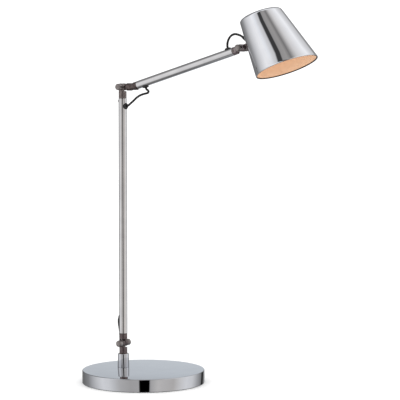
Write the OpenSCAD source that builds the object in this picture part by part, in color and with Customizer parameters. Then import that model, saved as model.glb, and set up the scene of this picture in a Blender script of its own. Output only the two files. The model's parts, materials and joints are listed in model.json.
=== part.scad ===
// Swing arm desk lamp: weighted round base, swivelling socket, post, arm and tilting shade.
// Frame: +Z up, +X the way the arm points, origin under the centre of the base on the table.
// Every hinge turns about a line along Y: the ear of the carrying piece is on its -Y side.

/* [Base] */
// Diameter of the round base
base_d = 190; // [170:1:230]
// Height of the base, foot pad included
base_h = 20; // [19:0.5:26]
// How far the post stands behind the centre of the base
post_back = 39; // [30:1:55]
// Height of the chromed socket above the base
socket_h = 21.6; // [20:0.2:26]

/* [Post and arm] */
// Outer diameter of both tubes
tube_d = 12.7; // [12.7:0.1:14]
// Wall of both tubes
tube_wall = 1.2; // [0.8:0.1:1.6]
// Lower hinge to elbow hinge
post_len = 400; // [330:5:460]
// Length of the cranked neck between the elbow hinge and the foot of the arm
crank_len = 16.5; // [16:0.5:20]
// Foot of the arm to the head hinge
arm_len = 212; // [205:0.5:230]
// Rise of the arm above level
arm_rise = 15.7; // [0:0.1:20]
// How far the arm's axis runs below its two hinges
arm_drop = 0.8; // [0:0.1:1.2]

/* [Hinges] */
// Diameter of the hinge ears
ear_d = 11; // [10:0.1:11.6]
// Thickness of one ear
ear_t = 5.6; // [5:0.1:6]
// Space between the two ears, filled by the friction washer
ear_gap = 1; // [0.8:0.1:1.2]
// Diameter of the end caps on the hinge screws
cap_d = 10; // [8.6:0.1:10.4]
// Length of one end cap
cap_len = 7.6; // [6:0.1:9]
// Diameter of the hinge screw where the ear turns on it
screw_d = 5; // [4.5:0.1:5.4]

/* [Shade] */
// Outer diameter of the open rim
rim_d = 95; // [90:0.2:100]
// Outer diameter of the closed top
top_d = 63.6; // [58:0.2:70]
// Height from rim to top
shade_len = 88.8; // [84:0.1:92]
// How far the top's centre is shifted towards the arm
top_shift = 15; // [12:0.5:16]
// Lean of the shade from upright
shade_tilt = 21.6; // [0:0.1:40]
// Head hinge to the back wall of the shade
shade_gap = 15; // [14:0.1:17]
// Height of the head hinge above the rim
hinge_height = 55.7; // [55.3:0.1:55.8]

/* [Cable] */
// Diameter of the black cable
cable_d = 3.4; // [2.8:0.1:3.4]

/* [Hidden] */

$fn = 64;
slack = 0.05;            // radial room of a shaft in a hole
clear = 0.1;             // room between faces that slide on each other
through = 0.5;           // how far a cutter runs past the face it opens

// base, from the table up
pad_t = 1.5;
plate_t = 1.4;
cover_t = 1.2;
cover_edge_z = 0.8;
cover_round = 1.3;
plate_z = pad_t;
weight_z = plate_z + plate_t + clear;
weight_top = base_h - cover_t - 0.3;
cover_r = base_d / 2;
weight_r = cover_r - cover_t - 0.6;
plate_screw_ring = 0.62 * cover_r;
lead_z = 9;              // height of the lead through the base
lead_d = 5;
gland_r = 4.4;
gland_flange_r = 6;

// socket and swivel, about the post's axis
socket_r = 8.6;
stud_r = 7;
stud_bore_r = 5.3;
bush_r = 6.9;
stem_r = 5;
stem_bore_r = 2.6;
socket_top = base_h + socket_h;
bush_z = socket_top - 15.5;
stem_end = bush_z - 2.4;
nut_z = weight_z + 3.2;
nut_t = 4;
nut_r = 12;
nut_recess_r = 14;

// hinges
collar_r = tube_d / 2 - 0.2;
collar_gap = 6.5;        // hinge line to the nearest collar
lower_z = socket_top + 16.3;
elbow_z = lower_z + post_len;
neck_half = 3.9;         // half width of the neck between ear and collar
ear_in = ear_gap / 2;
ear_out = ear_in + ear_t;
spring_t = 0.6;
far_cap_y = ear_out + spring_t + 2 * clear;
screw_end = ear_out + cap_len - 1.8;

// tubes: where each one starts and ends, measured from the hinge at its lower end
spigot_r = tube_d / 2 - tube_wall - slack;
spigot_len = 14;
high_spigot_len = 8.8;   // shorter, because the cable leaves the post just below it
arm_foot_spigot_len = 10;
arm_end_spigot_len = 6;
edge = 0.5;              // chamfer on the edges of ears and collars
low_collar = 9;
high_collar = 11.3;
arm_end_collar = 7;
post_from = collar_gap + low_collar;
post_to = post_len - collar_gap - high_collar;
arm_from = 14;
arm_collar_from = 5.5;
crank_bar_from = 9.2;    // the crank is round from here on, clear of the post's collar at full drop
crank_r = collar_r - 0.3;
arm_to = arm_len - 8 - arm_end_collar;
set_screw_in = 4;        // set screw to the end of its tube
arm_foot_screw = 10.8;   // the arm's set screws sit in its two collars
arm_end_screw = arm_to + 2.4;
screw_sink = 0.5;
set_screw_r = 1.5;

// cable holes
cable_r = cable_d / 2;
grommet_r = 5;
grommet_lip = 1.5;
grommet_hole_r = 2.7;
post_low_hole = 98 - lower_z;
post_high_hole = post_len - 29.8;
arm_low_hole = 27;
arm_high_hole = arm_to - 9.1;
boot_lean = 30;          // lean of the cable's entry into the swivel
boot_foot = 38;          // height at which that entry meets the swivel's axis
boot_turn = 160;         // direction, about the post, of the lower cable's plane

// shade, from its own rim upwards
shade_t = 1;
shoulder = 4;
liner_gap = 0.3;
liner_t = 0.8;
liner_from = 1;
liner_len = 60.3;
bulb_x = -8.5;
holder_r = 9.5;
holder_flange_r = 13;
holder_flange_t = 2.4;
holder_foot = liner_len - 8;
bulb_r = 7;
bulb_len = 20;
shade_wire_r = 1.6;
plate_gap = 0.1;         // holder plate to the top edge of the liner
holder_plate_t = 1.4;
holder_plate_r = 35.1;
holder_z = liner_len + plate_gap + holder_plate_t + clear;
pin_gap = 9;
pad_r = 4.5;
wall_r = (rim_d - (rim_d - top_d) * hinge_height / shade_len) / 2;
bracket_screw_step = 2.3;
bracket_screw_r = 1.25;
relief_up = 7.8;         // cable's entry above the head hinge, along the back wall
relief_lean = 30;        // fall of the cable as it reaches the shade
relief_len = 8;

// Routes of the cables. Points in the plane Y = 0 are [x, z], measured from the elbow hinge, from the
// head hinge, or, for the lower cable, outwards from the post's axis and upwards from the table.
elbow_route = [
    [8, -29.8], [10, -29], [12.6, -27.5], [15.2, -25.6], [17.8, -23.7], [20.4, -21.8], [23.4, -19.4],
    [26.4, -17.1], [30.4, -14.6], [34.7, -12.6], [39.4, -11.2], [43.6, -10.3], [46, -9.8], [48, -9.2],
    [49.5, -8.1], [49.7, -6.4], [48.5, -5.1], [46.8, -4.2], [45.6, -3.15], [44.94, -1.45]
];
head_route = [
    [-25.15, 0.41], [-25.5, 2], [-25.75, 4.5], [-25.4, 8], [-24.2, 11.7], [-22, 15.4], [-18.8, 18.4],
    [-15.2, 20.1], [-11.6, 20.5], [-8, 20], [-4.5, 19], [-1.4, 17.7], [1.37, 16.03]
];
lower_route = [
    [8, 98], [10, 97.4], [11.9, 95.6], [12.9, 92.8], [13, 89.6], [12.4, 85.8], [11.3, 81.6], [10.1, 77.4],
    [9.2, 73], [8.8, 68.4], [8.7, 63.6], [8.7, 59], [8.6, 55.4], [8.15, 52.2], [7.5, 51]
];

// ---------------------------------------------------------------- places

module at_post() translate([-post_back, 0, 0]) children();

module at_lower() translate([-post_back, 0, lower_z]) children();

module at_elbow() translate([-post_back, 0, elbow_z]) children();

// the arm's own frame: +Z runs along the arm from the end of the crank
module at_arm() at_elbow() translate([crank_len, 0, 0]) rotate([0, 90 - arm_rise, 0])
    translate([arm_drop, 0, 0]) children();

head_x = -post_back + crank_len + arm_len * cos(arm_rise);
head_z = elbow_z + arm_len * sin(arm_rise);

module at_head() translate([head_x, 0, head_z]) children();

// the shade's own frame: origin at the centre of its rim, +Z towards its top
module at_rim() at_head() rotate([0, -shade_tilt, 0])
    translate([shade_gap + wall_x(0), 0, -hinge_height]) children();

// the bracket's frame: origin on the head hinge, +X square to the back wall
module at_wall() at_head() rotate([0, -shade_tilt, 0]) children();

// distance of the shade's back wall from its rim centre
function wall_x(rise) = rim_d / 2 - wall_lean * (hinge_height - rise);
wall_lean = (rim_d / 2 - top_shift - top_d / 2) / shade_len;

// ---------------------------------------------------------------- shapes

// disc or bar with a rounded far end, standing on z = 0
module rounded_bar(r, len, round_r) rotate_extrude() union() {
    square([r - round_r, len]);
    square([r, len - round_r]);
    translate([r - round_r, len - round_r]) circle(round_r);
}

// disc or bar with chamfered edges, standing on z = 0
module edged_bar(r, len) {
    cylinder(r1 = r - edge, r2 = r, h = edge);
    translate([0, 0, edge]) cylinder(r = r, h = len - 2 * edge);
    translate([0, 0, len - edge]) cylinder(r1 = r, r2 = r - edge, h = edge);
}

// ring standing on z = 0
module ring(outer, inner, len) difference() {
    cylinder(r = outer, h = len);
    translate([0, 0, -through]) cylinder(r = inner, h = len + 2 * through);
}

// turns a shape drawn along +Z so that it runs along the hinge, towards +Y or -Y
module along_hinge(side) rotate([-90 * side, 0, 0]) children();

// one ear of a hinge on the given side of Y = 0, with a neck that runs up +Z to its collar
module ear(side, neck_len) {
    along_hinge(side) translate([0, 0, ear_in]) edged_bar(ear_d / 2, ear_t);
    intersection() {
        translate([-neck_half, side > 0 ? ear_in : -ear_out, 0]) cube([2 * neck_half, ear_t, neck_len]);
        cylinder(r = collar_r, h = neck_len);
    }
}

module screw_hole() along_hinge(1) translate([0, 0, -ear_out - through])
    cylinder(d = screw_d + 2 * slack, h = 2 * (ear_out + through));

// fitting at the end of a tube: ear, neck, collar and the spigot inside the tube, whose axis may be shifted
module tube_fitting(side, neck_len, collar_len, spigot, shift = 0) difference() {
    union() {
        ear(side, neck_len + edge + through);
        translate([shift, 0, neck_len]) edged_bar(collar_r, collar_len);
        translate([shift, 0, neck_len + collar_len - through]) cylinder(r = spigot_r, h = spigot + through);
    }
    screw_hole();
}

module hinge_screw() along_hinge(1) {
    translate([0, 0, -ear_out]) cylinder(d = screw_d, h = 2 * ear_out + spring_t);
    translate([0, 0, -screw_end]) cylinder(d = screw_d - 1, h = 2 * screw_end);
}

// end cap on the hinge screw, its mouth on the given plane
module end_cap(side, mouth) along_hinge(side) translate([0, 0, mouth]) difference() {
    rounded_bar(cap_d / 2, cap_len, 1.1);
    translate([0, 0, -through]) cylinder(d = screw_d - 1 + 2 * slack, h = screw_end - mouth + 0.3 + through);
    translate([0, 0, -through]) cylinder(d = screw_d + 2 * slack, h = spring_t + through);
}

module friction_washer() along_hinge(1) translate([0, 0, -ear_in + clear])
    ring(ear_d / 2 - 0.3, screw_d / 2 + slack, ear_gap - 2 * clear);

module spring_washer() along_hinge(1) translate([0, 0, ear_out + clear])
    ring(ear_d / 2 - 0.9, screw_d / 2 + slack, spring_t);

// rubber grommet in a tube wall. The tube runs along Z and the hole faces +X.
module grommet() difference() {
    rotate([0, 90, 0]) rounded_bar(grommet_r, tube_d / 2 + grommet_lip, 1);
    translate([0, 0, -2 * grommet_r]) cylinder(d = tube_d + 2 * slack, h = 4 * grommet_r);
    cable_bore();
}

module grommet_neck() difference() {
    rotate([0, 90, 0]) cylinder(r = grommet_hole_r - slack, h = tube_d / 2 + 1);
    translate([0, 0, -2 * grommet_r]) cylinder(r = spigot_r - 0.4, h = 4 * grommet_r);
    cable_bore();
}

module whole_grommet() {
    grommet();
    grommet_neck();
}

module cable_bore() rotate([0, 90, 0]) cylinder(r = cable_r + slack, h = tube_d);

// tube with square ends, a cable hole near each end and any number of set screw holes at its back
module lamp_tube(from, to, holes, hole_turns, screws = []) difference() {
    translate([0, 0, from]) cylinder(d = tube_d, h = to - from);
    translate([0, 0, from - through]) cylinder(d = tube_d - 2 * tube_wall, h = to - from + 2 * through);
    for (i = [0, 1]) translate([0, 0, holes[i]]) rotate([0, 0, hole_turns[i]]) rotate([0, 90, 0])
        cylinder(r = grommet_hole_r, h = tube_d);
    for (z = screws) translate([0, 0, z]) rotate([0, -90, 0]) cylinder(r = set_screw_r + slack, h = tube_d);
}

// set screw that faces +X on a tube along Z
module set_screw() translate([spigot_r + slack, 0, 0]) rotate([0, 90, 0]) difference() {
    union() {
        cylinder(r = set_screw_r, h = tube_wall + 1.1);
        translate([0, 0, tube_wall + 0.35]) cylinder(r = set_screw_r + 0.45, h = 0.75);
    }
    translate([0, 0, tube_wall + 0.5]) cylinder(r = 0.8, h = 1, $fn = 6);
}

function unit(v) = v / norm(v);
function heading(route, i) = unit(route[min(i + 1, len(route) - 1)] - route[max(i - 1, 0)]);

// plain cable swept along a route that lies in the plane Y = 0, one ring to a point
module cable(route, r = cable_r, sides = 8) {
    rings = len(route);
    path = [for (p = route) [p[0], 0, p[1]]];
    points = [
        for (i = [0:rings - 1])
            for (k = [0:sides - 1])
                let (t = heading(path, i), a = 360 * k / sides, up = [-t[2], 0, t[0]])
                    path[i] + r * (cos(a) * [0, 1, 0] + sin(a) * up)
    ];
    walls = [
        for (i = [0:rings - 2])
            for (k = [0:sides - 1])
                let (n = (k + 1) % sides)
                    [i * sides + k, i * sides + n, (i + 1) * sides + n, (i + 1) * sides + k]
    ];
    first = [for (k = [sides - 1:-1:0]) k];
    last = [for (k = [0:sides - 1]) (rings - 1) * sides + k];
    polyhedron(points = points, faces = concat([first], walls, [last]));
}

// closed body of an oblique cone with a rounded shoulder, standing on z = from
module oblique_cone(inset, from, to, round_r, sides = 96) {
    lean = function (z) -top_shift * z / shade_len;
    radius = function (z) rim_d / 2 - (rim_d - top_d) / 2 * z / shade_len - inset;
    steps = round_r > 0 ? 6 : 0;
    levels = concat(
        [[from, radius(from), lean(from)]],
        [
            for (i = [0:steps])
                let (a = steps > 0 ? 90 * i / steps : 0, z = to - round_r)
                    [z + round_r * sin(a), radius(z) - round_r * (1 - cos(a)), lean(z)]
        ]
    );
    count = len(levels);
    points = [
        for (l = levels)
            for (k = [0:sides - 1])
                [l[2] + l[1] * cos(360 * k / sides), l[1] * sin(360 * k / sides), l[0]]
    ];
    walls = [
        for (i = [0:count - 2])
            for (k = [0:sides - 1])
                let (n = (k + 1) % sides)
                    [i * sides + k, (i + 1) * sides + k, (i + 1) * sides + n, i * sides + n]
    ];
    floor_face = [for (k = [0:sides - 1]) k];
    top_face = [for (k = [sides - 1:-1:0]) (count - 1) * sides + k];
    polyhedron(points = points, faces = concat([floor_face], walls, [top_face]));
}

// holes that the bracket's screws need through the back wall
module bracket_screw_holes(r) at_bracket_screws() translate([0, 0, shade_gap - 4])
    cylinder(r = r, h = 10);

module at_bracket_screws() for (side = [-1, 1])
    translate([0, 0, side * bracket_screw_step]) rotate([0, 90, 0]) children();

// ---------------------------------------------------------------- base

module foot_pad() color("#2b2b2b") cylinder(r = weight_r - 2, h = pad_t, $fn = 128);

module base_plate() color("silver") difference() {
    translate([0, 0, plate_z]) cylinder(r = weight_r, h = plate_t, $fn = 128);
    at_plate_screws() translate([0, 0, plate_z]) plate_screw_shape(slack);
}

module at_plate_screws() for (a = [0, 120, 240]) rotate(a) translate([plate_screw_ring, 0, 0]) children();

module plate_screw_shape(extra) {
    translate([0, 0, -extra]) cylinder(r1 = 3.6 + extra, r2 = 2 + extra, h = 1.2 + extra, $fn = 48);
    cylinder(r = 2 + extra, h = 9 + extra, $fn = 48);
}

module plate_screws() color("dimgray") at_plate_screws() translate([0, 0, plate_z]) plate_screw_shape(0);

module base_weight() color("#3a3a3c") difference() {
    translate([0, 0, weight_z]) cylinder(r = weight_r, h = weight_top - weight_z, $fn = 128);
    at_plate_screws() translate([0, 0, weight_z - through]) cylinder(r = 2 + slack, h = 9);
    at_post() translate([0, 0, weight_z - through]) {
        cylinder(r = stud_r + 0.3, h = base_h);
        cylinder(r = nut_recess_r, h = nut_z + nut_t + clear - weight_z + through);
    }
    translate([-cover_r, -lead_d, weight_z - through])
        cube([cover_r - post_back, 2 * lead_d, lead_z + lead_d - weight_z + through]);
}

module base_cover() color("#d9dadc") difference() {
    rotate_extrude($fn = 160) difference() {
        union() {
            translate([0, cover_edge_z]) square([cover_r, base_h - cover_edge_z - cover_round]);
            rounded_edge();
        }
        translate([-1, -1]) square([cover_r - cover_t + 1, base_h - cover_t + 1]);
    }
    at_post() translate([0, 0, base_h - 2 * cover_t]) cylinder(r = stud_r + 0.1, h = 3 * cover_t);
    translate([-cover_r - through, 0, lead_z]) rotate([0, 90, 0]) cylinder(r = gland_r, h = 4 * cover_t);
}

// outline of the cover's top, with its rounded outer edge
module rounded_edge() {
    translate([0, base_h - 3]) square([cover_r - cover_round, 3]);
    translate([cover_r - cover_round, base_h - cover_round]) circle(cover_round, $fn = 48);
}

// strain relief bush where the mains lead enters at the back of the base
module cord_gland() color("#1b1b1c") translate([-cover_r, 0, lead_z]) rotate([0, 90, 0]) difference() {
    union() {
        translate([0, 0, -5]) cylinder(r1 = gland_r, r2 = gland_flange_r, h = 3.6);
        translate([0, 0, -1.4]) cylinder(r = gland_flange_r, h = 1.3);
        translate([0, 0, -0.2]) cylinder(r = gland_r - clear, h = 4);
    }
    translate([0, 0, -6]) cylinder(r = lead_d / 2 + 0.2, h = 12);
}

// lead lying in the weight's channel, from the gland to the recess around the nut
module base_lead() color("#161616") translate([-cover_r + 4.4, 0, lead_z]) rotate([0, 90, 0])
    cylinder(d = lead_d, h = cover_r - 4.4 - post_back - nut_recess_r, $fn = 24);

module socket_sleeve() color("#dedfe1") at_post() difference() {
    union() {
        translate([0, 0, base_h]) rounded_bar(socket_r, socket_h, 1);
        translate([0, 0, base_h]) cylinder(r1 = socket_r + 0.4, r2 = socket_r, h = socket_h - 4);
        translate([0, 0, nut_z]) cylinder(r = stud_r, h = base_h - nut_z + 1);
    }
    translate([0, 0, nut_z - through]) cylinder(r = stud_bore_r, h = base_h);
    translate([0, 0, stem_end - 1]) cylinder(r = bush_r + slack, h = socket_h);
}

module socket_nut() color("silver") at_post() translate([0, 0, nut_z]) difference() {
    cylinder(r = nut_r, h = nut_t, $fn = 6);
    translate([0, 0, -through]) cylinder(r = stud_r + slack, h = nut_t + 2 * through);
}

module swivel_bush() color("#c9b37a") at_post() translate([0, 0, bush_z])
    ring(bush_r, stem_r + slack, socket_top - bush_z);

// ---------------------------------------------------------------- swivel and lower hinge

module swivel_fitting() color("#4b4744") {
    difference() {
        at_post() union() {
            translate([0, 0, lower_z]) mirror([0, 0, 1]) ear(-1, collar_gap + edge + through);
            translate([0, 0, socket_top + clear])
                edged_bar(collar_r, lower_z - collar_gap - socket_top - clear);
            translate([0, 0, stem_end]) cylinder(r = stem_r, h = socket_top - stem_end + 1);
        }
        at_lower() screw_hole();
        at_post() {
            translate([0, 0, stem_end - through]) cylinder(r = stem_bore_r, h = boot_foot - stem_end + 3);
            at_boot() cylinder(r = cable_r + 0.3, h = 16);
            translate([0, 0, stem_end + 0.8]) ring(stem_r + 1, stem_r - 0.7, 0.8);
        }
    }
}

// frame of the cable's entry: +Z runs up and out along the entry
module at_boot() rotate([0, 0, boot_turn]) translate([0, 0, boot_foot]) rotate([0, boot_lean, 0]) children();

module swivel_clip() color("silver") at_post() translate([0, 0, stem_end + 0.9]) difference() {
    ring(stem_r + 1.3, stem_r - 0.65, 0.6);
    translate([0, -1.2, -through]) cube([10, 2.4, 2]);
}

// rubber boot around the cable where it enters the swivel
module lower_boot() color("#1b1b1c") at_post() at_boot() translate([0, 0, 13.2]) difference() {
    cylinder(r1 = cable_r + 1.1, r2 = cable_r + 0.5, h = 2.6);
    translate([0, 0, -through]) cylinder(r = cable_r + slack, h = 4);
}

module lower_hinge_screw() color("silver") at_lower() hinge_screw();

module lower_near_cap() color("#55504c") at_lower() end_cap(-1, ear_out);

module lower_far_cap() color("#55504c") at_lower() end_cap(1, far_cap_y);

module lower_friction_washer() color("#26221f") at_lower() friction_washer();

module lower_spring_washer() color("silver") at_lower() spring_washer();

module lower_cable() color("#141414") at_post() rotate([0, 0, boot_turn]) cable(lower_route);

// ---------------------------------------------------------------- post and elbow hinge

module post_lower_fitting() color("#4b4744") difference() {
    at_lower() tube_fitting(1, collar_gap, low_collar, spigot_len);
    at_lower() translate([0, 0, post_from + set_screw_in]) rotate([0, 90, 180])
        translate([0, 0, 1]) cylinder(r = set_screw_r + slack, h = tube_d);
}

module post_tube() color("#c9cacc") at_lower()
    lamp_tube(post_from, post_to, [post_low_hole, post_high_hole], [boot_turn, 0],
        [post_from + set_screw_in, post_to - set_screw_in]);

module post_lower_grommet() color("#1b1b1c") at_lower() translate([0, 0, post_low_hole])
    rotate([0, 0, boot_turn]) whole_grommet();

module post_upper_grommet() color("#1b1b1c") at_lower() translate([0, 0, post_high_hole]) whole_grommet();

// cable inside the post, between its two grommets
module post_wire() color("#161616") at_lower() translate([0, 0, post_low_hole])
    cylinder(r = cable_r, h = post_high_hole - post_low_hole, $fn = 24);

module post_upper_fitting() color("#4b4744") difference() {
    at_elbow() mirror([0, 0, 1]) tube_fitting(-1, collar_gap, high_collar, high_spigot_len);
    at_lower() translate([0, 0, post_to - set_screw_in]) rotate([0, 90, 180])
        translate([0, 0, 1]) cylinder(r = set_screw_r + slack, h = tube_d);
}

module post_set_screws() color("#3b3835") at_lower()
    for (z = [post_from + set_screw_in, post_to - set_screw_in])
        translate([0, 0, z]) rotate([0, 0, 180]) set_screw();

module elbow_hinge_screw() color("silver") at_elbow() hinge_screw();

module elbow_near_cap() color("#55504c") at_elbow() end_cap(-1, ear_out);

module elbow_far_cap() color("#55504c") at_elbow() end_cap(1, far_cap_y);

module elbow_friction_washer() color("#26221f") at_elbow() friction_washer();

module elbow_spring_washer() color("silver") at_elbow() spring_washer();

module elbow_cable() color("#141414") at_elbow() cable(elbow_route);

// ---------------------------------------------------------------- arm and head hinge

// cranked fitting: a flat neck, then a level round bar, then the collar that turns up along the arm
module arm_lower_fitting() color("#4b4744") difference() {
    union() {
        at_elbow() along_hinge(1) translate([0, 0, ear_in]) edged_bar(ear_d / 2, ear_t);
        at_elbow() translate([0, ear_in, -neck_half]) cube([crank_len, ear_t, 2 * neck_half]);
        at_elbow() translate([crank_bar_from, 0, 0]) rotate([0, 90, 0]) {
            cylinder(r1 = crank_r - edge, r2 = crank_r, h = edge);
            translate([0, 0, edge]) cylinder(r = crank_r, h = crank_len - crank_bar_from - edge);
        }
        at_elbow() translate([crank_len, 0, 0]) sphere(r = crank_r);
        at_arm() translate([0, 0, arm_collar_from]) edged_bar(collar_r, arm_from - arm_collar_from);
        at_arm() cylinder(r = spigot_r, h = arm_from + arm_foot_spigot_len);
    }
    at_elbow() screw_hole();
    at_arm() translate([0, 0, arm_foot_screw]) rotate([0, 90, 0])
        translate([0, 0, 1]) cylinder(r = set_screw_r + slack, h = tube_d);
}

// in the arm's frame +X is its underside and -Y the side of the near ears
module arm_tube() color("#c9cacc") at_arm()
    lamp_tube(arm_from, arm_to, [arm_low_hole, arm_high_hole], [0, 180]);

module arm_lower_grommet() color("#1b1b1c") at_arm() translate([0, 0, arm_low_hole]) whole_grommet();

module arm_upper_grommet() color("#1b1b1c") at_arm() translate([0, 0, arm_high_hole])
    rotate([0, 0, 180]) whole_grommet();

// cable inside the arm, between its two grommets
module arm_wire() color("#161616") at_arm() translate([0, 0, arm_low_hole])
    cylinder(r = cable_r, h = arm_high_hole - arm_low_hole, $fn = 24);

module arm_upper_fitting() color("#4b4744") difference() {
    at_arm() translate([-arm_drop, 0, arm_len]) mirror([0, 0, 1])
        tube_fitting(-1, arm_len - arm_to - arm_end_collar, arm_end_collar, arm_end_spigot_len, arm_drop);
    at_arm() translate([0, 0, arm_end_screw]) rotate([90, 0, 0])
        translate([0, 0, 1]) cylinder(r = set_screw_r + slack, h = tube_d);
}

module arm_set_screws() color("#3b3835") at_arm() {
    translate([-screw_sink, 0, arm_foot_screw]) set_screw();
    translate([0, screw_sink, arm_end_screw]) rotate([0, 0, -90]) set_screw();
}

module head_hinge_screw() color("silver") at_head() hinge_screw();

module head_near_cap() color("#55504c") at_head() end_cap(-1, ear_out);

module head_far_cap() color("#55504c") at_head() end_cap(1, far_cap_y);

module head_friction_washer() color("#26221f") at_head() friction_washer();

module head_spring_washer() color("silver") at_head() spring_washer();

module head_cable() color("#141414") at_head() cable(head_route);

// ---------------------------------------------------------------- head

module head_bracket() color("#6a6560") at_wall() difference() {
    union() {
        along_hinge(1) translate([0, 0, ear_in]) edged_bar(ear_d / 2, ear_t);
        translate([0, ear_in, -neck_half]) cube([shade_gap - 2, ear_t, 2 * neck_half]);
        translate([shade_gap - 4, 0, 0]) rotate([0, 90, 0]) cylinder(r = pad_r, h = 5);
    }
    translate([shade_gap + wall_r - 0.15, 0, -2 * pad_r]) cylinder(r = wall_r, h = 4 * pad_r, $fn = 160);
    screw_hole();
    bracket_screw_holes(bracket_screw_r + slack);
}

module bracket_screws() color("dimgray") at_wall() at_bracket_screws() {
    translate([0, 0, shade_gap - 3.4]) cylinder(r = bracket_screw_r, h = 7.2, $fn = 32);
    translate([0, 0, shade_gap + 3.75]) rounded_bar(2.1, 1.6, 0.6);
}

// saddle plate under the screw heads, against the inside of the liner
module clamp_plate() color("silver") at_wall() difference() {
    intersection() {
        translate([shade_gap + wall_r, 0, -8]) difference() {
            cylinder(r = wall_r - 2.4, h = 16, $fn = 160);
            translate([0, 0, -through]) cylinder(r = wall_r - 3.7, h = 16 + 2 * through, $fn = 160);
        }
        translate([shade_gap, -7, -4.6]) cube([6, 14, 9.2]);
    }
    bracket_screw_holes(bracket_screw_r + slack);
}

// angled rubber strain relief: a flange on the back wall and a ribbed boot towards the cable
module head_strain_relief() color("#1b1b1c") at_wall() difference() {
    union() {
        translate([shade_gap - 2.6, 0, relief_up]) rotate([0, 90, 0]) cylinder(r = 3.1, h = 2.3);
        translate([shade_gap - 2.6, 0, relief_up]) rotate([0, 90, 0]) cylinder(r = 2.4, h = 3.9);
        translate([shade_gap - 2.6, 0, relief_up]) sphere(r = 2.9);
        at_relief() cylinder(r1 = 2.9, r2 = 2.1, h = relief_len);
        for (i = [1:3]) at_relief() translate([0, 0, 1.9 * i]) cylinder(r = 3 - 0.16 * i, h = 0.9);
    }
    translate([shade_gap - 2.6, 0, relief_up]) rotate([0, 90, 0]) cylinder(r = cable_r + slack, h = 8);
    at_relief() cylinder(r = cable_r + slack, h = relief_len + through);
}

// +Z runs from the back wall out along the arriving cable
module at_relief() translate([shade_gap - 2.6, 0, relief_up])
    rotate([0, shade_tilt - 90 + relief_lean, 0]) children();

module shade() color("#d4d5d7") difference() {
    at_rim() difference() {
        oblique_cone(0, 0, shade_len, shoulder);
        oblique_cone(shade_t, -through, shade_len - shade_t, shoulder - shade_t);
    }
    at_wall() bracket_screw_holes(bracket_screw_r + 0.2);
    at_wall() translate([shade_gap - 3, 0, relief_up]) rotate([0, 90, 0]) cylinder(r = 2.5, h = 8);
}

// white reflector sleeve inside the shade, open at both ends
module shade_liner() color("#f4efe6") difference() {
    at_rim() difference() {
        oblique_cone(shade_t + liner_gap, liner_from, liner_len, 0);
        oblique_cone(shade_t + liner_gap + liner_t, -through, liner_len + through, 0);
    }
    at_wall() bracket_screw_holes(bracket_screw_r + 0.2);
}

// white ceiling on the top edge of the liner, which carries the lamp holder
module holder_plate() color("#f4efe6") at_rim() difference() {
    translate([-top_shift * liner_len / shade_len, 0, liner_len + plate_gap])
        cylinder(r = holder_plate_r, h = holder_plate_t, $fn = 128);
    translate([bulb_x, 0, liner_len - 3]) cylinder(r = holder_r + 0.2, h = 6);
    at_holder_screws() translate([0, 0, liner_len - 3]) cylinder(r = 1.2 + slack, h = 6);
}

module at_holder_screws() for (side = [-1, 1]) translate([bulb_x, side * 11.2, 0]) children();

module lamp_holder() color("#ece7dc") at_rim() translate([bulb_x, 0, 0]) difference() {
    union() {
        translate([0, 0, holder_foot]) cylinder(r = holder_r, h = holder_z - holder_foot + 6);
        translate([0, 0, holder_z]) cylinder(r = holder_flange_r, h = holder_flange_t);
    }
    for (side = [-1, 1]) {
        translate([0, side * pin_gap / 2, holder_foot - through]) cylinder(r = 0.8, h = 9);
        translate([0, side * 11.2, liner_len - 1]) cylinder(r = 1.2 + slack, h = 8);
    }
    translate([0, 0, holder_z + 2.6]) cylinder(r = 4, h = 6);
}

module holder_screws() color("dimgray") at_rim() at_holder_screws() {
    translate([0, 0, liner_len - 2]) cylinder(r = 1.2, h = 6.2, $fn = 32);
    translate([0, 0, holder_z + holder_flange_t]) rounded_bar(1.7, 1.2, 0.5);
}

module bulb_base() color("#e8e4da") at_rim() translate([bulb_x, 0, holder_foot - 9]) difference() {
    rounded_bar(8.2, 8.8, 0.8);
    for (side = [-1, 1]) translate([0, side * pin_gap / 2, 2]) cylinder(r = 0.6, h = 9);
    translate([0, 0, -through]) cylinder(r = bulb_r - 0.8, h = 1.5);
}

module bulb_pins() color("silver") at_rim()
    for (side = [-1, 1]) translate([bulb_x, side * pin_gap / 2, holder_foot - 7])
        cylinder(r = 0.55, h = 14, $fn = 24);

module bulb_glass() color("#fff3dc") at_rim() translate([bulb_x, 0, holder_foot - 9 - bulb_len]) difference() {
    bulb_shape(bulb_r, bulb_len);
    translate([0, 0, 1]) bulb_shape(bulb_r - 1, bulb_len);
}

// capsule hanging down: round lower end, open upper end
module bulb_shape(r, len) {
    translate([0, 0, r]) cylinder(r = r, h = len - r);
    translate([0, 0, r]) sphere(r = r);
}

// cable inside the shade, from the strain relief over to the top of the holder
module shade_wire() color("#161616") at_rim() cable(shade_wire_route, shade_wire_r);

shade_wire_route = [
    [-45.4, 63.5], [-42.6, 63.8], [-38.4, 64.9], [-33.2, 67.2], [-28, 69.9], [-23, 72.5], [-18, 73.9], [-13.8, 73],
    [-10.2, 70.3], [-8.7, 66.7], [-8.5, 63.5]
];

// ---------------------------------------------------------------- assembly

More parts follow.
